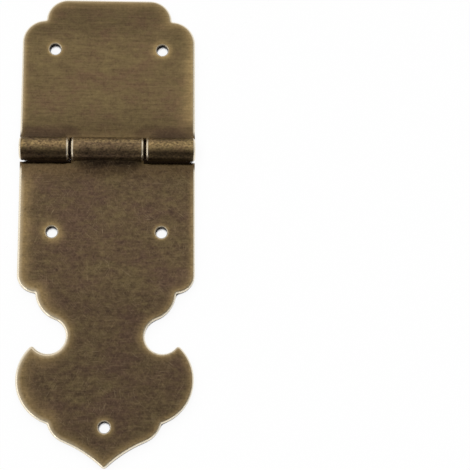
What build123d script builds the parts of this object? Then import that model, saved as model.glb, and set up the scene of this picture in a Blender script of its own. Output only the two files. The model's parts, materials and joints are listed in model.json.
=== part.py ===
from build123d import *
import os
from math import asin, degrees, sqrt

# Decorative surface hinge rolled from sheet brass, lying open on its back faces.
# X runs along the barrel, +Y towards the short leaf, +Z out of the show face.
# The origin is on the mounting plane, under the hinge axis and at mid-width.

# Sheet, pin and barrel
sheet = 1.3
pin_diameter = 2.7
pin_clearance = 0.05
pin_chamfer = 0.35
leaf_width = 40.0

# Knuckles: one in the middle on the long leaf, one at each end on the short leaf
middle_knuckle = 16.5
knuckle_gap = 0.5
leaf_clearance = 0.25
seam_gap = 0.1
knuckle_chamfer = 0.4

# Brazed seam: a long low fillet up to the barrel, tapering off at a knuckle's ends
braze_reach = 4.2
braze_rise = 1.35
braze_taper = 0.15
braze_margin = 0.6
braze_bite = 0.015

# Edges, corners of the outline and screw holes
edge_chamfer = 0.45
tip_round = 0.7
nook_round = 0.4
hole_diameter = 2.6
hole_chamfer = 0.2
hole_spacing = 24.8

# Short leaf: two quarter-round steps up to a flat top
short_length = 36.5
step_radius = 5.45
crown_radius = 5.05
short_hole_reach = 24.3

# Long leaf: body, shoulders, neck notches, lobes and a pointed foot
body_length = 33.0
corner_radius = 4.2
shoulder_radius = 6.75
neck_width = 17.55
neck_drop = 9.75
notch_radius = 4.0
lobe_inset = 0.2
lobe_drop = 9.8
lobe_radius = 10.25
foot_width = 25.6
foot_drop = 8.35
foot_radius = 5.85
point_drop = 11.45
ogee_radius = 28.0
long_hole_reach = 19.05
point_hole_rise = 9.25

# Sizes that follow from those above
bore_radius = pin_diameter / 2 + pin_clearance
barrel_radius = bore_radius + sheet
side = leaf_width / 2
end_knuckle = (leaf_width - middle_knuckle) / 2 - knuckle_gap
leaf_start = sqrt((barrel_radius + leaf_clearance) ** 2 - (barrel_radius - sheet) ** 2)
tab_root = leaf_start + 2 * edge_chamfer
curl_angle = 270 + degrees(asin((barrel_radius - sheet - seam_gap) / barrel_radius))


def crossings(centre_a, radius_a, centre_b, radius_b):
    # The two points where a pair of circles meet, the left one first
    span = centre_b - centre_a
    along = (span.length**2 + radius_a**2 - radius_b**2) / (2 * span.length)
    across = sqrt(radius_a**2 - along**2)
    middle = centre_a + span.normalized() * along
    sideways = span.normalized().rotate(Axis.Z, 90) * across
    return sorted((middle - sideways, middle + sideways), key=lambda point: point.X)


def corners_at(outline, *places):
    # The outline's corners at the given places and at their mirror images
    mirrored = [Vector(-place.X, place.Y) for place in places]
    return {outline.vertices().sort_by_distance(place)[0] for place in (*places, *mirrored)}


def rolled_knuckle(start, length):
    # A tab of the leaf curled under the pin, up and over it, and back down onto the
    # leaf's own front face, which lies on the -Y side
    barrel_axis = Vector(0, barrel_radius)
    with BuildPart() as knuckle:
        with BuildSketch(Plane.YZ.offset(start)):
            with BuildLine():
                outer = CenterArc(barrel_axis, barrel_radius, -90, curl_angle)
                inner = CenterArc(barrel_axis, bore_radius, -90, curl_angle)
                Line(outer @ 1, inner @ 1)
                Polyline(outer @ 0, (-tab_root, 0), (-tab_root, sheet), inner @ 0)
            make_face()
        extrude(amount=length)
        rims = knuckle.edges().filter_by(lambda edge: edge.geom_type == GeomType.CIRCLE)
        chamfer(rims.group_by(SortBy.RADIUS)[-1], knuckle_chamfer)

        # The braze runs from the leaf's face, with no crease there, to half-way up the curl
        for place in (-1, -0.5, 0, 0.5, 1):
            share = 1 - (1 - braze_taper) * place**4
            run = braze_reach * share
            rise = braze_rise * share
            toe = Vector(-barrel_radius - run, sheet - braze_bite)
            top = Vector(braze_bite - barrel_radius, sheet + rise)
            root = Vector(-bore_radius, sheet - seam_gap)
            along = start + length / 2 + place * (length / 2 - braze_margin)
            with BuildSketch(Plane.YZ.offset(along)):
                with BuildLine():
                    RadiusArc(toe, top, -(run**2 + rise**2) / (2 * rise))
                    Polyline(top, root, toe)
                make_face()
        loft()
    return knuckle.part


# Short leaf
step_end = Vector(side - step_radius, short_length - crown_radius)
crown_end = Vector(step_end.X - crown_radius, short_length)

with BuildPart() as upper_leaf:
    with BuildSketch() as short_outline:
        with BuildLine():
            Polyline((0, leaf_start), (side, leaf_start), (side, step_end.Y - step_radius))
            RadiusArc((side, step_end.Y - step_radius), step_end, -step_radius)
            RadiusArc(step_end, crown_end, -crown_radius)
            Line(crown_end, (0, short_length))
            mirror(about=Plane.YZ)
        make_face()
        fillet(corners_at(short_outline, step_end), nook_round)
    extrude(amount=sheet)
    chamfer(upper_leaf.edges().group_by(Axis.Z)[-1], edge_chamfer)
    with Locations((0, short_hole_reach, sheet)):
        with GridLocations(hole_spacing, 0, 2, 1):
            Hole(hole_diameter / 2)
    chamfer(upper_leaf.faces().sort_by(Axis.Z)[-1].inner_wires().edges(), hole_chamfer)
    add(rolled_knuckle(-side, end_knuckle), rotation=(0, 0, 180))
    add(rolled_knuckle(side - end_knuckle, end_knuckle), rotation=(0, 0, 180))

# Long leaf: the centres of its arcs, then the points where they meet
corner_end = Vector(side - corner_radius, -body_length)
notch = Vector(neck_width / 2 + notch_radius, -body_length - neck_drop)
lobe = Vector(side - lobe_inset - lobe_radius, notch.Y - lobe_drop)
foot = Vector(foot_width / 2 - foot_radius, lobe.Y - foot_drop)
point = Vector(0, foot.Y - point_drop)
shoulder = crossings(corner_end, shoulder_radius, notch, shoulder_radius + notch_radius)[0]
ogee = crossings(point, ogee_radius, foot, ogee_radius + foot_radius)[-1]
shoulder_end = notch + (shoulder - notch).normalized() * notch_radius
lobe_tip = crossings(notch, notch_radius, lobe, lobe_radius)[-1]
lobe_end = crossings(lobe, lobe_radius, foot, foot_radius)[-1]
foot_end = foot + (ogee - foot).normalized() * foot_radius

with BuildPart() as lower_leaf:
    with BuildSketch() as long_outline:
        with BuildLine():
            Polyline((0, -leaf_start), (side, -leaf_start), (side, corner_radius - body_length))
            RadiusArc((side, corner_radius - body_length), corner_end, corner_radius)
            RadiusArc(corner_end, shoulder_end, shoulder_radius)
            RadiusArc(shoulder_end, lobe_tip, notch_radius, short_sagitta=False)
            RadiusArc(lobe_tip, lobe_end, lobe_radius)
            RadiusArc(lobe_end, foot_end, foot_radius)
            RadiusArc(foot_end, point, -ogee_radius)
            mirror(about=Plane.YZ)
        make_face()
        fillet(corners_at(long_outline, corner_end, lobe_end), nook_round)
        fillet(corners_at(long_outline, point, lobe_tip), tip_round)
    extrude(amount=sheet)
    chamfer(lower_leaf.edges().group_by(Axis.Z)[-1], edge_chamfer)
    with Locations((0, -long_hole_reach, sheet)):
        with GridLocations(hole_spacing, 0, 2, 1):
            Hole(hole_diameter / 2)
    with Locations((0, point.Y + point_hole_rise, sheet)):
        Hole(hole_diameter / 2)
    chamfer(lower_leaf.faces().sort_by(Axis.Z)[-1].inner_wires().edges(), hole_chamfer)
    add(rolled_knuckle(-middle_knuckle / 2, middle_knuckle))

# Pin, as long as the barrel
with BuildPart() as hinge_pin:
    with BuildSketch(Plane.YZ.offset(-side)):
        with Locations((0, barrel_radius)):
            Circle(pin_diameter / 2)
    extrude(amount=leaf_width)
    chamfer(hinge_pin.edges().filter_by(GeomType.CIRCLE), pin_chamfer)

upper_leaf.part.label = "upper_leaf"
lower_leaf.part.label = "lower_leaf"
hinge_pin.part.label = "hinge_pin"

os.makedirs("parts", exist_ok=True)
export_step(upper_leaf.part, "parts/upper_leaf.step")
export_step(lower_leaf.part, "parts/lower_leaf.step")
export_step(hinge_pin.part, "parts/hinge_pin.step")
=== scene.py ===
import json
import math
import bpy
import bmesh
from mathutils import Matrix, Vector
from mathutils.bvhtree import BVHTree


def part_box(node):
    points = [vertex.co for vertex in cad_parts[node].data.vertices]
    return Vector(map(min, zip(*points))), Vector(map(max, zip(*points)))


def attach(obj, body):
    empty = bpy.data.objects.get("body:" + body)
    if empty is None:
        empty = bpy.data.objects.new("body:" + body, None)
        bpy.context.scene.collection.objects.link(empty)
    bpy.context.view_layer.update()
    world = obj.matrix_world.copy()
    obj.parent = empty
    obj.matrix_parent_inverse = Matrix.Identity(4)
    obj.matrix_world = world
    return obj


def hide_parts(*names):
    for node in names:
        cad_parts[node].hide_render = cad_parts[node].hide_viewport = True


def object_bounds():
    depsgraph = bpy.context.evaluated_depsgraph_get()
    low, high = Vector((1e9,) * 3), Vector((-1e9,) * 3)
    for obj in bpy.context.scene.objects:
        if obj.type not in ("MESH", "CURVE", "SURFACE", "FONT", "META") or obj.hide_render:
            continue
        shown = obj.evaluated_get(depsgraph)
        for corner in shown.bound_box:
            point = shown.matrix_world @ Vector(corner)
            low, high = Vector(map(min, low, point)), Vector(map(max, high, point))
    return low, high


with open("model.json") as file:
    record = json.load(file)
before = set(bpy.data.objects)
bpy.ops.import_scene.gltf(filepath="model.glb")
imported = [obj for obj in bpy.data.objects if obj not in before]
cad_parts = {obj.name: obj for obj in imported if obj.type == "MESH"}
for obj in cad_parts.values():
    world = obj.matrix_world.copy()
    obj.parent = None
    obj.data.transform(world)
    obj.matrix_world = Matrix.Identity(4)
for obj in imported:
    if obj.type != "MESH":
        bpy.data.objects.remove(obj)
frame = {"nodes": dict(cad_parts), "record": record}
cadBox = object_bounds()

scene = bpy.context.scene
scene.view_settings.view_transform = "Standard"
mm = 0.001
print("frame loaded, nodes:", ", ".join(sorted(frame["nodes"])))

# places that the pieces share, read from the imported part
halfWidth = cadBox[1][0]
pinLow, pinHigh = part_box("hinge_pin")
pinRadius = (pinHigh.z - pinLow.z) / 2
barrelHeight = (pinHigh.z + pinLow.z) / 2       # the pin's axis above the mounting plane
holeCentres = []
for mount in frame["record"]["mounts"]:
    if mount["kind"] == "flat_face":
        continue
    x, y = mount["pos_m"][:2]
    dims = mount["dims"]
    holeRadius = dims.get("hole_r_mm", dims.get("r_mm")) * mm       # all the holes are one size
    step = dims.get("spacing_x_mm", 0) * mm / 2
    holeCentres += [Vector((x + side * step, y)) for side in ((-1, 1) if step else (0,))]


def openPiece(piece):
    bpy.ops.object.select_all(action="DESELECT")
    piece.select_set(True)
    bpy.context.view_layer.objects.active = piece
    bpy.ops.object.mode_set(mode="EDIT")
    bpy.ops.mesh.select_mode(type="EDGE")
    bpy.ops.mesh.select_all(action="DESELECT")


def closePiece():
    bpy.ops.object.mode_set(mode="OBJECT")


def selectEdges(piece, wanted):
    bpy.ops.mesh.select_all(action="DESELECT")
    grid = bmesh.from_edit_mesh(piece.data)
    for edge in grid.edges:
        if wanted(edge):
            edge.select_set(True)
    bmesh.update_edit_mesh(piece.data)


# a leaf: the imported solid's own form, with its flat eased edges rolled over and
# the faces cut into cells that can carry the wear
leafForm = {
    "pinPlay": 0.05 * mm,        # between the pin and the rolled sheet
    "merge": 0.002 * mm,
    "flatAngle": 0.4,            # degrees, faces flatter than this become one
    "chamferAngle": 45,
    "angleSlack": 8,
    "edgeRoll": 0.17 * mm,
    "edgeSteps": 3,
    "holeRoll": 0.07 * mm,
    "holeSteps": 2,
    "holeMargin": 0.5 * mm,      # edges this close to a hole are its own
    "cell": 0.5 * mm,
    "cutSlack": 0.001 * mm,
    "smoothAngle": 40,
    "endFacing": 0.999,          # the normal of a knuckle's end lies along X by more than this
    "endHeight": 1.5,            # in sheet thicknesses, higher than the leaf itself
}
# the brazed ramp from a leaf up to its own knuckle
seamForm = {
    "reach": 4.2 * mm,           # out from the barrel
    "rise": 1.35 * mm,
    "margin": 0.3 * mm,          # from where it ends to the knuckle's own end
    "taper": 4,                  # the higher, the later it falls away towards its ends
    "fullRun": 0.999,            # share of its half length that has a height
    "overrun": 1.0 * mm,         # flat sheet past its reach that is set level too
    "slack": 0.02 * mm,          # leeway at the barrel and at the sheet's face
    "sideGap": 0.5 * mm,         # nothing is moved this close to the leaf's sides
}
# where a leaf wears, and where dirt and painted shade go
wearForm = {
    "wallRise": 0.1,             # the normal of an upright wall rises less than this
    "holeRise": 0.3,             # the same for the walls of a hole
    "holeReach": 0.3 * mm,       # round a hole, where its walls and rim lie
    "sheetTop": 1.05,            # in sheet thicknesses, above this is the barrel
    "slotReach": 4.0 * mm,       # walls this close to the axis face the barrel
    "endFacing": 0.9,            # the normal of a knuckle's end lies along X by more than this
    "endReach": 6.0 * mm,        # from the axis
    "sideGap": 1.0 * mm,         # the outer ends of the barrel are clean
    "boreShare": 1.2,            # of the pin's radius
    "barrelShare": 1.02,         # of the barrel's radius
    "wallPlace": 1 / 3,          # of the sheet, the height at which the outline is measured
}


def holeDistance(point):
    return min((Vector(point[:2]) - centre).length for centre in holeCentres)


def isChamferEdge(edge):
    if len(edge.link_faces) != 2:
        return False
    turn = math.degrees(edge.calc_face_angle())
    return abs(turn - leafForm["chamferAngle"]) < leafForm["angleSlack"]


def isHoleEdge(edge):
    middle = (edge.verts[0].co + edge.verts[1].co) / 2
    return holeDistance(middle) < holeRadius + leafForm["holeMargin"]


def rollEdges(piece):
    selectEdges(piece, lambda edge: isChamferEdge(edge) and not isHoleEdge(edge))
    bpy.ops.mesh.bevel(
        offset=leafForm["edgeRoll"], segments=leafForm["edgeSteps"], clamp_overlap=False)
    selectEdges(piece, lambda edge: isChamferEdge(edge) and isHoleEdge(edge))
    bpy.ops.mesh.bevel(
        offset=leafForm["holeRoll"], segments=leafForm["holeSteps"], clamp_overlap=False)


def cutCells(low, high):
    for axis in (0, 1):
        normal = [0, 0, 0]
        normal[axis] = 1
        span = high[axis] - low[axis]
        count = int(span / leafForm["cell"])
        for index in range(1, count):
            place = [0, 0, 0]
            place[axis] = low[axis] + span * index / count
            bpy.ops.mesh.select_all(action="SELECT")
            bpy.ops.mesh.bisect(plane_co=place, plane_no=normal, threshold=leafForm["cutSlack"])


def knuckleEnds(mesh, sheet):
    # places along X where this leaf's knuckles start and end, in pairs
    ends = set()
    for face in mesh.polygons:
        isHigh = face.center.z > sheet * leafForm["endHeight"]
        if isHigh and abs(face.normal.x) > leafForm["endFacing"]:
            ends.add(round(face.center.x / mm, 1) * mm)
    ends = sorted(ends)
    return list(zip(ends[::2], ends[1::2]))


def rampHeight(x, away, knuckles, sheet):
    # how high the brazed ramp stands at a place, away being the distance from the barrel
    for start, end in knuckles:
        place = abs(2 * x - start - end) / (end - start - 2 * seamForm["margin"])
        if place < seamForm["fullRun"]:
            share = 1 - place ** seamForm["taper"]
            run = seamForm["reach"] * share
            rise = seamForm["rise"] * share
            bend = (run ** 2 + rise ** 2) / (2 * rise)       # its radius, tangent to the sheet
            climb = min(max(run - away, 0), run)
            return sheet + bend - math.sqrt(bend ** 2 - climb ** 2)
    return sheet


def fillSeams(piece, side, knuckles, sheet):
    # even out the ramps beside the knuckles, so that they run into the leaf without a crease
    slack = seamForm["slack"]
    farthest = seamForm["reach"] + seamForm["overrun"]
    grid = bmesh.from_edit_mesh(piece.data)
    for point in grid.verts:
        away = point.co.y * side - barrelHeight
        onRamp = slack < away < farthest and point.co.z > sheet - slack
        if onRamp and abs(point.co.x) < halfWidth - seamForm["sideGap"]:
            point.co.z = rampHeight(point.co.x, away, knuckles, sheet)
    bmesh.update_edit_mesh(piece.data)
    bpy.ops.mesh.select_all(action="SELECT")
    bpy.ops.mesh.remove_doubles(threshold=leafForm["merge"])


def sortFaces(mesh, sheet):
    # the walls of the outline, and face values: 1 on its cut edge, 1 where dirt and painted shade go
    walls, cutEdge, grime = [], [], []
    for face in mesh.polygons:
        centre = face.center
        top = max(mesh.vertices[index].co.z for index in face.vertices)
        around = math.hypot(centre.y, centre.z - barrelHeight)
        atHole = holeDistance(centre) < holeRadius + wearForm["holeReach"]
        isLow = top < sheet * wearForm["sheetTop"]
        isWall = isLow and abs(face.normal.z) < wearForm["wallRise"]
        isCut = isWall and not atHole
        if isCut:
            walls.append(tuple(face.vertices))
        cutEdge.append(1.0 if isCut and abs(centre.y) > wearForm["slotReach"] else 0.0)

        # the hole walls, the slot, the knuckles' facing ends and the bore get dirt and painted shade
        inHole = atHole and abs(face.normal.z) < wearForm["holeRise"]
        inSlot = isWall and abs(centre.y) < wearForm["slotReach"]
        atEnd = abs(face.normal.x) > wearForm["endFacing"] and around < wearForm["endReach"]
        between = atEnd and abs(centre.x) < halfWidth - wearForm["sideGap"]
        inBore = around < pinRadius * wearForm["boreShare"]
        grime.append(1.0 if inHole or inSlot or between or inBore else 0.0)
    return walls, cutEdge, grime


def measureWear(piece, knuckles, sheet):
    # point values in mm: how far a spot is from the leaf's outline or its knuckle's end,
    # from the nearest screw hole, and from the foot of the leaf's own knuckles
    mesh = piece.data
    walls, cutEdge, grime = sortFaces(mesh, sheet)
    points = [vertex.co.copy() for vertex in mesh.vertices]
    outline = BVHTree.FromPolygons(points, walls)
    edgeGap, holeGap, foldGap, barrel = [], [], [], []
    for point in points:
        around = math.hypot(point.y, point.z - barrelHeight)
        isHigh = point.z > sheet * wearForm["sheetTop"]
        onBarrel = isHigh and around < barrelHeight * wearForm["barrelShare"]
        if onBarrel:
            gap = min(abs(point.x - end) for pair in knuckles for end in pair)
        else:
            below = Vector((point.x, point.y, sheet * wearForm["wallPlace"]))
            gap = outline.find_nearest(below)[3]
        aside = min(max(start - point.x, point.x - end, 0) for start, end in knuckles)
        edgeGap.append(gap / mm)
        holeGap.append((holeDistance(point) - holeRadius) / mm)
        foldGap.append(math.hypot(aside, max(abs(point.y) - barrelHeight, 0)) / mm)
        barrel.append(1.0 if onBarrel else 0.0)
    layers = {
        "POINT": {"edgeGap": edgeGap, "holeGap": holeGap, "foldGap": foldGap, "barrel": barrel},
        "FACE": {"grime": grime, "cutEdge": cutEdge},
    }
    for domain, group in layers.items():
        for name, values in group.items():
            mesh.attributes.new(name, "FLOAT", domain).data.foreach_set("value", values)


def makeLeaf(nodeName, pieceName, body):
    low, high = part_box(nodeName)
    sheet = barrelHeight - pinRadius - leafForm["pinPlay"]       # the barrel's wall is the sheet's own
    side = 1 if high.y > -low.y else -1       # the leaf lies towards +Y or -Y
    leaf = bpy.data.objects.new(pieceName, frame["nodes"][nodeName].data.copy())
    scene.collection.objects.link(leaf)
    knuckles = knuckleEnds(leaf.data, sheet)
    print(pieceName, "knuckles at", [[round(end / mm, 2) for end in pair] for pair in knuckles])
    openPiece(leaf)
    bpy.ops.mesh.select_all(action="SELECT")
    bpy.ops.mesh.remove_doubles(threshold=leafForm["merge"])
    bpy.ops.mesh.customdata_custom_splitnormals_clear()
    bpy.ops.mesh.dissolve_limited(angle_limit=math.radians(leafForm["flatAngle"]))
    rollEdges(leaf)
    cutCells(low, high)
    bpy.ops.mesh.select_mode(type="VERT")
    fillSeams(leaf, side, knuckles, sheet)
    closePiece()
    bpy.ops.object.shade_smooth_by_angle(angle=math.radians(leafForm["smoothAngle"]))
    bpy.ops.object.modifier_add(type="WEIGHTED_NORMAL")
    leaf.modifiers[-1].keep_sharp = True
    bpy.ops.object.modifier_apply(modifier=leaf.modifiers[-1].name)
    measureWear(leaf, knuckles, sheet)
    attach(leaf, body)
    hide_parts(nodeName)
    print(pieceName, "has", len(leaf.data.polygons), "faces")
    return leaf


# the pin: drawn rod with rounded ends
pinForm = {
    "sides": 48,
    "endAngle": 60,              # degrees, an edge that turns more is the rim of an end
    "endRound": 0.35 * mm,
    "endSteps": 4,
    "smoothAngle": 30,
}


def isPinRim(edge):
    return len(edge.link_faces) == 2 and edge.calc_face_angle() > math.radians(pinForm["endAngle"])


def makePin():
    bpy.ops.object.select_all(action="DESELECT")
    bpy.ops.mesh.primitive_cylinder_add(
        vertices=pinForm["sides"], radius=pinRadius, depth=pinHigh.x - pinLow.x,
        location=(0, 0, barrelHeight), rotation=(0, math.radians(90), 0))
    pin = bpy.context.active_object
    pin.name = "pinRod"
    bpy.ops.object.transform_apply(location=True, rotation=True, scale=True)
    openPiece(pin)
    selectEdges(pin, isPinRim)
    bpy.ops.mesh.bevel(offset=pinForm["endRound"], segments=pinForm["endSteps"])
    closePiece()
    bpy.ops.object.shade_smooth_by_angle(angle=math.radians(pinForm["smoothAngle"]))
    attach(pin, "upper_half")
    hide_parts("hinge_pin")
    print("pinRod has", len(pin.data.polygons), "faces")
    return pin


shortLeaf = makeLeaf("upper_leaf", "shortLeaf", "upper_half")
longLeaf = makeLeaf("lower_leaf", "longLeaf", "lower_half")
pinRod = makePin()


# small helpers for the materials
def newMaterial(name):
    material = bpy.data.materials.new(name)
    material.use_nodes = True
    return material, material.node_tree


def addNode(tree, kind, **settings):
    node = tree.nodes.new(kind)
    for name, value in settings.items():
        setattr(node, name, value)
    return node


def feed(tree, socket, value):
    # a constant is set on the socket, anything else is linked to it
    if isinstance(value, (int, float, tuple)):
        socket.default_value = value
    else:
        tree.links.new(value, socket)


def maths(tree, operation, first, second=0.0):
    node = addNode(tree, "ShaderNodeMath", operation=operation)
    feed(tree, node.inputs[0], first)
    feed(tree, node.inputs[1], second)
    return node.outputs["Value"]


def times(tree, first, *others):
    for other in others:
        first = maths(tree, "MULTIPLY", first, other)
    return first


def plus(tree, first, second):
    return maths(tree, "ADD", first, second)


def minus(tree, first, second):
    return maths(tree, "SUBTRACT", first, second)


def larger(tree, first, second):
    return maths(tree, "MAXIMUM", first, second)


def sizeOf(tree, value):
    return maths(tree, "ABSOLUTE", value)


def stepBetween(tree, value, start, end, low=0.0, high=1.0):
    node = addNode(tree, "ShaderNodeMapRange", interpolation_type="SMOOTHSTEP")
    node.inputs["From Min"].default_value = start
    node.inputs["From Max"].default_value = end
    node.inputs["To Min"].default_value = low
    node.inputs["To Max"].default_value = high
    tree.links.new(value, node.inputs["Value"])
    return node.outputs["Result"]


def fadeFrom(tree, gap, width, share):
    # full at an edge, and fading away over the width
    near = stepBetween(tree, gap, width, 0.0)
    return times(tree, near, near, share)


def noiseAt(tree, coords, size, detail, roughness=0.55, turn=0.0):
    # size is one blotch along X, Y and Z in mm, turned about Z by an angle in degrees
    mapping = addNode(tree, "ShaderNodeMapping", vector_type="TEXTURE")
    mapping.inputs["Rotation"].default_value[2] = math.radians(turn)
    mapping.inputs["Scale"].default_value = [length * mm for length in size]
    noise = addNode(tree, "ShaderNodeTexNoise")
    noise.inputs["Scale"].default_value = 1.0
    noise.inputs["Detail"].default_value = detail
    noise.inputs["Roughness"].default_value = roughness
    tree.links.new(coords, mapping.inputs["Vector"])
    tree.links.new(mapping.outputs["Vector"], noise.inputs["Vector"])
    return noise.outputs["Fac"]


def swing(tree, noise):
    return minus(tree, noise, 0.5)       # about its middle value


def swingOf(tree, noises, weights):
    # 1, with the swing of each noise added by its weight
    total = 1.0
    for name, weight in weights.items():
        total = plus(tree, times(tree, swing(tree, noises[name]), weight), total)
    return total


def attribute(tree, name):
    node = addNode(tree, "ShaderNodeAttribute", attribute_name=name, attribute_type="GEOMETRY")
    return node.outputs["Fac"]


def linear(red, green, blue):
    # colours are written as they look on screen, 0 to 255
    out = []
    for part in (red, green, blue):
        part /= 255
        out.append(part / 12.92 if part <= 0.04045 else ((part + 0.055) / 1.055) ** 2.4)
    return (*out, 1.0)


def mixColour(tree, factor, first, second):
    node = addNode(tree, "ShaderNodeMix", data_type="RGBA")
    for index, value in ((0, factor), (6, first), (7, second)):       # the sockets for colours
        feed(tree, node.inputs[index], value)
    return node.outputs[2]


def scaleColour(tree, colour, factor):
    node = addNode(tree, "ShaderNodeVectorMath", operation="SCALE")
    feed(tree, node.inputs[0], colour[:3] if isinstance(colour, tuple) else colour)
    tree.links.new(factor, node.inputs["Scale"])
    return node.outputs["Vector"]


# aged sheet brass: blotched patina over brushed metal, rubbed gold along the edges
# the short leaf is more olive and streaked, the long leaf browner and more speckled
shortBrass = {
    "brown": (105, 88, 60),
    "olive": (109, 93, 62),
    "russet": (104, 83, 60),
    "fold": (78, 59, 44),
    "foldShare": 0.75,           # how dark the patina, with painted shade in the bend, stays beside the leaf's own knuckles
    "footShadeShare": 0.0,            # and the painted shade right at their foot
    "beside": 0.25,              # and how much darker the leaf is all along the barrel
    "crestWearAndGlint": (0.7 * mm, 0.4 * mm),       # along Y: middle and half width of the barrel's rubbed crest, partly a painted highlight band
    # how strong the painted shade is on the barrel's underside
    "shadeUnderShare": 0.72,
    "streak": 0.75,
    "rub": 0.25,
    "mottle": 0.85,
    "speckle": 0.8,
    "fleck": 0.08,
    "scratch": 0.25,
    "buffed": (18 * mm, 6 * mm, 14 * mm),       # along Y: middle, start and end of its fade
    "unbuffed": 0.76,
    "bandWidth": 3.6,            # mm of gold along an edge
    "leftRub": -0.35,            # how much wider the gold is on the left than on the right
    "rimRub": 0.0,               # the same for the bare rim
    "sheenShare": (0.25, 0.15),          # of the painted sheen along the edges, on the left and on the right
}
longBrass = {
    "brown": (92, 75, 54),
    "olive": (98, 83, 57),
    "russet": (91, 71, 56),
    "fold": (84, 66, 47),
    # on this leaf the fold is patina and painted shade, and its dark foot is painted shade
    "foldShare": 0.4,
    "footShadeShare": 0.85,
    "beside": 0.5,
    "crestWearAndGlint": (2.3 * mm, 1.1 * mm),
    "shadeUnderShare": 0.4,
    "streak": 0.5,
    "rub": 0.45,
    "mottle": 1.35,
    "speckle": 1.3,
    "fleck": 0.22,
    "scratch": 0.8,
    "buffed": (-20 * mm, 9 * mm, 17 * mm),
    "unbuffed": 0.86,
    "bandWidth": 3.6,
    "leftRub": 0.4,
    "rimRub": 0.2,
    "sheenShare": (0.42, 0.12),
}
# what both leaves share
wornBrass = {
    # size of one blotch in mm along X, Y and Z, then detail and roughness
    "noises": {
        "streaks": ((5.0, 0.34, 3.0), 4),
        "hairlines": ((9.0, 0.11, 3.0), 2),
        "grain": ((0.55, 0.42, 0.5), 4, 0.65),
        "mottle": ((1.7, 1.1, 1.5), 5, 0.6),
        "rubs": ((0.32, 2.2, 1.5), 3),
        "patches": ((4.5, 2.0, 3.0), 3),
        "clouds": ((12.0, 8.0, 9.0), 3),
    },
    "blotches": {"clouds": 1.2, "patches": 0.7, "mottle": 0.9},
    "brownFrom": (0.72, 1.05),
    "oliveFrom": (0.98, 1.3),
    "besideTone": (88, 67, 42),
    "besideReach": (8 * mm, 4 * mm),
    "foldRagged": 1.2,           # mm, how unevenly the dark patina and painted shade end
    "foldReach": (4.3, 2.6),     # mm out from the barrel
    # painted shade: at the foot of the leaf's own knuckles, and under the barrel
    "shadeTone": (40, 28, 17),
    "footShadeReach": (2.4, 0.7),
    "gold": (154, 130, 87),
    "goldRagged": {"mottle": 1.3, "clouds": 1.3},
    "goldReach": (4 * mm, 9 * mm),       # from the axis, less gold nearer than this
    "goldNear": 0.4,
    "bandShare": 0.85,
    "ringWidth": 2.0,            # mm of gold round a hole
    "crestShare": 0.5,
    "crestSoft": (0.7 * mm, 0.3 * mm),   # the fade outside and inside the crest's border
    "crestGrain": (0.36, 0.6),
    "crestLeast": 0.5,
    "shadeUnderReach": (-0.3 * mm, -1.3 * mm),        # along Y, where the painted shade under the barrel starts and where it is full
    "barrelSpeckle": 2.4,
    "hairShare": 0.6,
    "patchSwing": 0.25,
    "buffRagged": 12 * mm,
    "fleckTone": (134, 113, 86),
    "fleckTurns": (6, 62, -48),
    "scratchTone": (160, 140, 108),
    "scratches": ((4, 0.07), (58, 0.06), (-37, 0.06), (97, 0.07)),       # turn, and width in mm
    "speckTone": (176, 148, 96),
    "speckGrain": (0.66, 0.80),
    "speckPatch": (0.42, 0.62),
    "speckShare": 0.5,
    "sheenTone": (208, 190, 158),    # a painted sheen: light reflected on the edge inside the bare rim
    "sheenStart": 0.45,
    "sheenWidth": 0.95,
    "sheenTurn": (-0.5, 0.2),    # from the left half to the right, in half widths
    "bare": (236, 224, 200),
    "rimWidth": 0.54,            # mm of bare metal on a rolled edge
    "rimFull": 0.25,
    "rimReach": (3.4 * mm, 5 * mm),
    "holeRim": (0.3, 0.2),
    "holeRimShare": 0.5,
    "cutShadeTone": (78, 63, 47),     # the cut edge under the rolled one, dull and darkened as painted shade
    "cutSwing": {"mottle": 1.5, "grain": 1.5},
    # dirt, and painted shade in the hole walls, the slot, the bore and the knuckle gaps
    "dirtAndShadeTone": (30, 22, 14),
    "metallic": 0.9,             # the patina is partly a dull film
    "roughness": 0.40,
    "roughSwing": 0.07,
    "roughFrom": (0.3, 0.7),     # the mottle's span over which it swings
    "rimRoughness": 0.22,
    "grimeRoughness": 0.2,       # added where dirt stays
    "bumpStrength": 0.3,
    "bumpHeight": 0.02 * mm,
}


def readLeaf(tree, look):
    # everything on a leaf that its colour depends on
    coords = addNode(tree, "ShaderNodeTexCoord").outputs["Object"]
    spot = {"coords": coords}
    for name, pattern in wornBrass["noises"].items():
        spot[name] = noiseAt(tree, coords, *pattern)
    for name in ("edgeGap", "holeGap", "foldGap", "barrel", "cutEdge", "grime"):
        spot[name] = attribute(tree, name)
    place = addNode(tree, "ShaderNodeSeparateXYZ")
    tree.links.new(coords, place.inputs[0])
    spot["along"] = place.outputs["Y"]
    spot["reach"] = sizeOf(tree, place.outputs["Y"])
    spot["across"] = times(tree, place.outputs["X"], 1 / halfWidth)       # -1 at the left, 1 at the right
    spot["offBarrel"] = minus(tree, 1.0, spot["barrel"])
    speckle = times(tree, spot["barrel"], wornBrass["barrelSpeckle"])
    spot["speckle"] = plus(tree, speckle, look["speckle"])
    return spot


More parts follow.
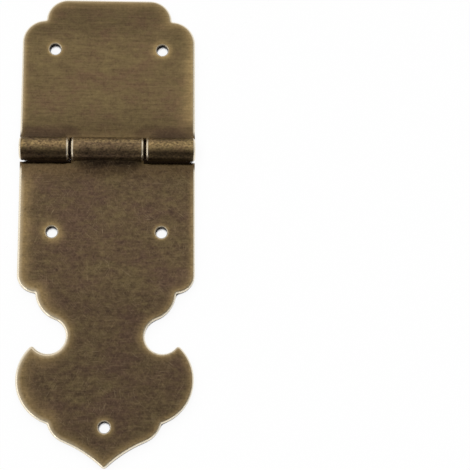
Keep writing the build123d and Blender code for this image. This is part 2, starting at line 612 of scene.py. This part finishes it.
def patinaColour(tree, spot, look):
    # blotches of olive, brown and russet
    wear = wornBrass
    blotch = swingOf(tree, spot, wear["blotches"])
    browner = stepBetween(tree, blotch, *wear["brownFrom"])
    greener = stepBetween(tree, blotch, *wear["oliveFrom"])
    colour = mixColour(tree, browner, linear(*look["russet"]), linear(*look["brown"]))
    colour = mixColour(tree, greener, colour, linear(*look["olive"]))

    # darker all along the barrel; beside the leaf's own knuckles patina with painted shade in the bend,
    # and painted shade darkest at their foot
    foldGap = plus(tree, spot["foldGap"], times(tree, spot["mottle"], wear["foldRagged"]))
    dark = (
        (spot["reach"], wear["besideReach"], look["beside"], wear["besideTone"]),
        (foldGap, wear["foldReach"], look["foldShare"], look["fold"]),
        (foldGap, wear["footShadeReach"], look["footShadeShare"], wear["shadeTone"]),
    )
    for gap, reach, share, tone in dark:
        near = times(tree, stepBetween(tree, gap, *reach, 0.0, share), spot["offBarrel"])
        colour = mixColour(tree, near, colour, linear(*tone))
    return colour


def addGold(tree, spot, look, colour):
    # gold where hands and screws rub, less so beside the barrel
    wear = wornBrass
    leftRub = times(tree, spot["across"], look["leftRub"])
    ragged = plus(tree, swingOf(tree, spot, wear["goldRagged"]), leftRub)
    edgeGap = times(tree, spot["edgeGap"], ragged)
    holeGap = times(tree, spot["holeGap"], ragged)
    clear = stepBetween(tree, spot["reach"], *wear["goldReach"], wear["goldNear"], 1.0)
    band = times(tree, fadeFrom(tree, edgeGap, look["bandWidth"], wear["bandShare"]), clear)
    ring = fadeFrom(tree, holeGap, wear["ringWidth"], wear["bandShare"])
    colour = mixColour(tree, larger(tree, band, ring), colour, linear(*wear["gold"]))

    # the barrel is rubbed gold along its crest, partly a painted highlight, and has painted shade
    # underneath
    # the crest's gold is rubbed wear and partly a painted highlight on the side towards the light
    middle, half = look["crestWearAndGlint"]
    outside, inside = wear["crestSoft"]
    off = sizeOf(tree, minus(tree, spot["along"], middle))
    crestWearAndGlint = stepBetween(tree, off, half + outside, half - inside, 0.0, wear["crestShare"])
    worn = stepBetween(tree, spot["grain"], *wear["crestGrain"], wear["crestLeast"], 1.0)
    crestWearAndGlint = times(tree, crestWearAndGlint, spot["barrel"], worn)
    colour = mixColour(tree, crestWearAndGlint, colour, linear(*wear["gold"]))
    # painted shade on the barrel's underside
    shadeUnder = stepBetween(tree, spot["along"], *wear["shadeUnderReach"], 0.0, look["shadeUnderShare"])
    shadeUnder = times(tree, shadeUnder, spot["barrel"])
    return mixColour(tree, shadeUnder, colour, linear(*wear["shadeTone"]))


def addStrokes(tree, spot, look, colour):
    # light and dark strokes and grain, and a part that was buffed more
    wear = wornBrass
    strokes = {
        "streaks": look["streak"],
        "hairlines": wear["hairShare"] * look["streak"],
        "rubs": look["rub"],
        "mottle": look["mottle"],
        "patches": wear["patchSwing"],
    }
    grainy = times(tree, swing(tree, spot["grain"]), spot["speckle"])
    colour = scaleColour(tree, colour, plus(tree, swingOf(tree, spot, strokes), grainy))
    middle, start, end = look["buffed"]
    away = sizeOf(tree, minus(tree, spot["along"], middle))
    away = plus(tree, away, times(tree, swing(tree, spot["clouds"]), wear["buffRagged"]))
    buffed = larger(tree, stepBetween(tree, away, start, end, 1.0, look["unbuffed"]), spot["barrel"])
    return scaleColour(tree, colour, buffed)


# fine straight scratches, broken up so that only a few show, and short light flecks
markForm = {
    "scratchLength": 3.5,        # mm, and so are the other sizes
    "scratchDepth": 4.0,
    "scratchShow": (0.68, 0.76),         # only the peaks of a noise show
    "spreadSize": (6.0, 5.0, 6.0),       # the parts of a leaf that have scratches at all
    "spreadTurn": 20,
    "spreadShow": (0.52, 0.66),
    "fleckSize": (2.0, 0.22, 1.5),
    "fleckShow": (0.56, 0.74),
    "roughness": 0.5,
}


def scratchesAt(tree, coords, turn, width):
    form = markForm
    size = (form["scratchLength"], width, form["scratchDepth"])
    lines = noiseAt(tree, coords, size, 1, form["roughness"], turn)
    spread = noiseAt(tree, coords, form["spreadSize"], 2, form["roughness"], turn + form["spreadTurn"])
    lines = stepBetween(tree, lines, *form["scratchShow"])
    return times(tree, lines, stepBetween(tree, spread, *form["spreadShow"]))


def flecksAt(tree, coords, turn):
    marks = noiseAt(tree, coords, markForm["fleckSize"], 1, markForm["roughness"], turn)
    return stepBetween(tree, marks, *markForm["fleckShow"])


def addMarks(tree, spot, look, colour):
    wear = wornBrass
    for turn in wear["fleckTurns"]:
        marks = times(tree, flecksAt(tree, spot["coords"], turn), look["fleck"])
        colour = mixColour(tree, marks, colour, linear(*wear["fleckTone"]))
    for turn, width in wear["scratches"]:
        lines = times(tree, scratchesAt(tree, spot["coords"], turn, width), look["scratch"])
        colour = mixColour(tree, lines, colour, linear(*wear["scratchTone"]))
    specks = stepBetween(tree, spot["grain"], *wear["speckGrain"])
    gathered = stepBetween(tree, spot["mottle"], *wear["speckPatch"])
    specks = times(tree, specks, spot["speckle"], gathered, wear["speckShare"])
    return mixColour(tree, specks, colour, linear(*wear["speckTone"]))


def findRim(tree, spot, rimGap):
    # where the metal is bare: the rolled edges, the knuckles' ends and the rims of the holes
    wear = wornBrass
    rim = stepBetween(tree, rimGap, wear["rimWidth"], wear["rimFull"])
    clear = larger(tree, stepBetween(tree, spot["reach"], *wear["rimReach"]), spot["barrel"])
    holeRim = stepBetween(tree, spot["holeGap"], *wear["holeRim"], 0.0, wear["holeRimShare"])
    rim = larger(tree, times(tree, rim, clear), holeRim)
    return times(tree, rim, minus(tree, 1.0, spot["cutEdge"]))


def addEdges(tree, spot, look, colour):
    # a painted sheen along the edge, bare metal on the rolled one, the cut edge darkened as painted
    # shade, and dirt with painted shade where nothing rubs
    wear = wornBrass
    rimRub = plus(tree, times(tree, spot["across"], look["rimRub"]), 1.0)
    rimGap = times(tree, spot["edgeGap"], rimRub)
    # painted sheen: a reflection of light on the edges, stronger on the left
    sheen = fadeFrom(tree, minus(tree, rimGap, wear["sheenStart"]), wear["sheenWidth"], 1.0)
    share = stepBetween(tree, spot["across"], *wear["sheenTurn"], *look["sheenShare"])
    sheen = times(tree, sheen, share, stepBetween(tree, spot["reach"], *wear["goldReach"]))
    colour = mixColour(tree, sheen, colour, linear(*wear["sheenTone"]))
    rim = findRim(tree, spot, rimGap)
    colour = mixColour(tree, rim, colour, linear(*wear["bare"]))
    # the cut edge, darkened as painted shade on the walls
    cutShadeTone = scaleColour(tree, linear(*wear["cutShadeTone"]), swingOf(tree, spot, wear["cutSwing"]))
    colour = mixColour(tree, spot["cutEdge"], colour, cutShadeTone)
    # dirt, and painted shade in the hole walls, the slot, the bore and between the knuckles
    colour = mixColour(tree, spot["grime"], colour, linear(*wear["dirtAndShadeTone"]))
    return colour, rim


def addBump(tree, shader, height, strength, distance):
    bump = addNode(tree, "ShaderNodeBump")
    bump.inputs["Strength"].default_value = strength
    bump.inputs["Distance"].default_value = distance
    tree.links.new(height, bump.inputs["Height"])
    tree.links.new(bump.outputs["Normal"], shader.inputs["Normal"])


def makeAgedBrass(name, look):
    wear = wornBrass
    material, tree = newMaterial(name)
    shader = tree.nodes["Principled BSDF"]
    spot = readLeaf(tree, look)
    colour = patinaColour(tree, spot, look)
    colour = addGold(tree, spot, look, colour)
    colour = addStrokes(tree, spot, look, colour)
    colour = addMarks(tree, spot, look, colour)
    colour, rim = addEdges(tree, spot, look, colour)
    tree.links.new(colour, shader.inputs["Base Color"])

    smoothest = wear["roughness"] - wear["roughSwing"]
    roughest = wear["roughness"] + wear["roughSwing"]
    roughness = stepBetween(tree, spot["mottle"], *wear["roughFrom"], smoothest, roughest)
    polish = times(tree, rim, wear["roughness"] - wear["rimRoughness"])
    dirt = times(tree, spot["grime"], wear["grimeRoughness"])
    roughness = plus(tree, minus(tree, roughness, polish), dirt)
    tree.links.new(roughness, shader.inputs["Roughness"])
    shader.inputs["Metallic"].default_value = wear["metallic"]
    height = plus(tree, spot["streaks"], spot["grain"])
    addBump(tree, shader, height, wear["bumpStrength"], wear["bumpHeight"])
    return material


# drawn rod: turned rings of dark film, darkened as painted shade where it shows in the knuckle gaps,
# brighter on the rounded ends
pinBrass = {
    # the film's dark tone is partly painted shade in the knuckle gaps
    "film": (44, 34, 23),
    "brass": (132, 110, 74),
    "noises": {"rings": ((0.25, 3.0, 3.0), 3), "film": ((1.2, 0.8, 0.8), 5, 0.6)},
    "swing": {"rings": 0.7, "film": 0.9},
    "endShare": 0.98,            # share of the half length past which the end is rubbed clean
    "rubbedFilm": (0.35, 0.6),
    "rubbedLeast": 0.5,
    "roughFrom": (0.3, 0.7),     # the film's span, and the roughness at its ends
    "roughness": (0.30, 0.46),
    "bumpStrength": 0.25,
    "bumpHeight": 0.01 * mm,
}


def makePinBrass():
    look = pinBrass
    material, tree = newMaterial("pinBrass")
    shader = tree.nodes["Principled BSDF"]
    coords = addNode(tree, "ShaderNodeTexCoord").outputs["Object"]
    noises = {name: noiseAt(tree, coords, *pattern) for name, pattern in look["noises"].items()}
    place = addNode(tree, "ShaderNodeSeparateXYZ")
    tree.links.new(coords, place.inputs[0])
    along = sizeOf(tree, place.outputs["X"])
    rubbed = stepBetween(tree, along, pinHigh.x * look["endShare"], pinHigh.x)
    thin = stepBetween(tree, noises["film"], *look["rubbedFilm"], look["rubbedLeast"], 1.0)
    rubbed = times(tree, rubbed, thin)
    colour = mixColour(tree, rubbed, linear(*look["film"]), linear(*look["brass"]))
    colour = scaleColour(tree, colour, swingOf(tree, noises, look["swing"]))
    tree.links.new(colour, shader.inputs["Base Color"])
    roughness = stepBetween(tree, noises["film"], *look["roughFrom"], *look["roughness"])
    tree.links.new(roughness, shader.inputs["Roughness"])
    shader.inputs["Metallic"].default_value = 1.0
    addBump(tree, shader, noises["rings"], look["bumpStrength"], look["bumpHeight"])
    return material


finishes = (
    (shortLeaf, makeAgedBrass("shortBrass", shortBrass)),
    (longLeaf, makeAgedBrass("longBrass", longBrass)),
    (pinRod, makePinBrass()),
)
for piece, finish in finishes:
    piece.data.materials.clear()
    piece.data.materials.append(finish)
print("materials set")


# the floor is seen white, and dark in the gaps and holes where no light gets in
floorForm = {
    "size": 6.0,
    "drop": 0.05 * mm,
    "colour": (0.85, 0.85, 0.85, 1),
    "white": (1.0, 1.0, 1.0, 1.0),
    "whiteShare": 0.985,
    "shadow": 0.95,              # how white the floor is right beside an edge
    "nookReach": 3.5 * mm,       # it darkens in gaps narrower than about this
    "nookTowards": (-0.22, 0.50, 0.84),          # where the light comes from that doesn't get in
    "nookColour": (20, 12, 6),
    "nookDark": 0.325,           # openness at which it is darkest
    "nookClear": 0.375,          # and at which it is clear again
    "nookSamples": 32,
}


def makeFloor():
    look = floorForm
    bpy.ops.object.select_all(action="DESELECT")
    bpy.ops.mesh.primitive_plane_add(size=look["size"], location=(0, 0, -look["drop"]))
    floor = bpy.context.active_object
    floor.name = "floor"
    material, tree = newMaterial("paleFloor")
    tree.nodes.clear()
    diffuse = addNode(tree, "ShaderNodeBsdfDiffuse")
    diffuse.inputs["Color"].default_value = look["colour"]

    towards = addNode(tree, "ShaderNodeCombineXYZ")
    for socket, value in zip(towards.inputs, look["nookTowards"]):
        socket.default_value = value
    nook = addNode(tree, "ShaderNodeAmbientOcclusion", samples=look["nookSamples"])
    nook.inputs["Distance"].default_value = look["nookReach"]
    tree.links.new(towards.outputs["Vector"], nook.inputs["Normal"])
    openness = nook.outputs["AO"]
    clear = stepBetween(tree, openness, look["nookDark"], look["nookClear"])
    shadow = stepBetween(tree, openness, look["nookClear"], 1.0, look["shadow"], 1.0)
    glow = addNode(tree, "ShaderNodeEmission")
    tone = mixColour(tree, clear, linear(*look["nookColour"]), look["white"])
    tree.links.new(tone, glow.inputs["Color"])
    tree.links.new(shadow, glow.inputs["Strength"])

    rays = addNode(tree, "ShaderNodeLightPath")
    seen = larger(tree, rays.outputs["Is Camera Ray"], rays.outputs["Is Glossy Ray"])
    seen = larger(tree, seen, rays.outputs["Is Transmission Ray"])
    mix = addNode(tree, "ShaderNodeMixShader")
    tree.links.new(times(tree, seen, look["whiteShare"]), mix.inputs[0])
    tree.links.new(diffuse.outputs[0], mix.inputs[1])
    tree.links.new(glow.outputs[0], mix.inputs[2])
    output = addNode(tree, "ShaderNodeOutputMaterial")
    tree.links.new(mix.outputs[0], output.inputs["Surface"])
    floor.data.materials.append(material)


# the tent round the table: brightest over the far side, falling off towards the viewer
tent = {
    "towards": (-0.03, 0.70, 0.70),
    # angle from that direction in degrees, and how bright the tent is there
    "steps": (
        (0, 1.02), (25, 0.98), (45, 0.85), (64, 0.70),
        (80, 0.53), (92, 0.32), (110, 0.23), (180, 0.18),
    ),
}


def makeTent():
    world = bpy.data.worlds.new("tent")
    world.use_nodes = True
    tree = world.node_tree
    coords = addNode(tree, "ShaderNodeTexCoord").outputs["Generated"]
    facing = addNode(tree, "ShaderNodeVectorMath", operation="DOT_PRODUCT")
    facing.inputs[1].default_value = Vector(tent["towards"]).normalized()
    tree.links.new(coords, facing.inputs[0])
    angle = maths(tree, "DIVIDE", maths(tree, "ARCCOSINE", facing.outputs["Value"]), math.pi)
    shade = addNode(tree, "ShaderNodeValToRGB")
    ramp = shade.color_ramp
    ramp.interpolation = "EASE"
    for turn, bright in tent["steps"][1:-1]:       # a new ramp has two steps of its own
        ramp.elements.new(turn / 180)
    for element, (turn, bright) in zip(ramp.elements, tent["steps"]):
        element.position = turn / 180
        element.color = (bright, bright, bright, 1)
    tree.links.new(angle, shade.inputs["Fac"])
    tree.links.new(shade.outputs["Color"], tree.nodes["Background"].inputs["Color"])
    scene.world = world


# sizes in metres, each lamp facing the origin
lamps = {
    "overhead": {"place": (0.0, 1.1, 1.4), "size": (2.2, 1.4), "radiance": 0.40},
    "leftCard": {"place": (-0.60, -0.22, 0.12), "size": (0.8, 0.22), "radiance": 1.25},
    "frontCard": {"place": (0.0, -0.75, 0.09), "size": (1.6, 0.14), "radiance": 0.9},
}


def makeLamp(name, look):
    lamp = bpy.data.lights.new(name, "AREA")
    lamp.shape = "RECTANGLE"
    lamp.size, lamp.size_y = look["size"]
    lamp.energy = look["radiance"] * math.pi * lamp.size * lamp.size_y
    item = bpy.data.objects.new(name, lamp)
    scene.collection.objects.link(item)
    item.location = look["place"]
    item.rotation_euler = (-Vector(look["place"])).to_track_quat("-Z", "Y").to_euler()
    item.visible_camera = False


camera = {
    "place": (10.0 * mm, -91.4 * mm, 339.6 * mm),
    "turn": (11.99, -3.18, -0.27),       # degrees about X, Y and Z
    "lens": 116.6,
    "sensor": 36.0,
    "nearest": 0.005,
}


def makeCamera():
    data = bpy.data.cameras.new("camera")
    data.lens = camera["lens"]
    data.sensor_width = camera["sensor"]
    data.clip_start = camera["nearest"]
    item = bpy.data.objects.new("camera", data)
    scene.collection.objects.link(item)
    item.location = camera["place"]
    item.rotation_euler = [math.radians(angle) for angle in camera["turn"]]
    scene.camera = item


makeFloor()
makeTent()
for name, look in lamps.items():
    makeLamp(name, look)
makeCamera()
print("floor, lamps and camera set")
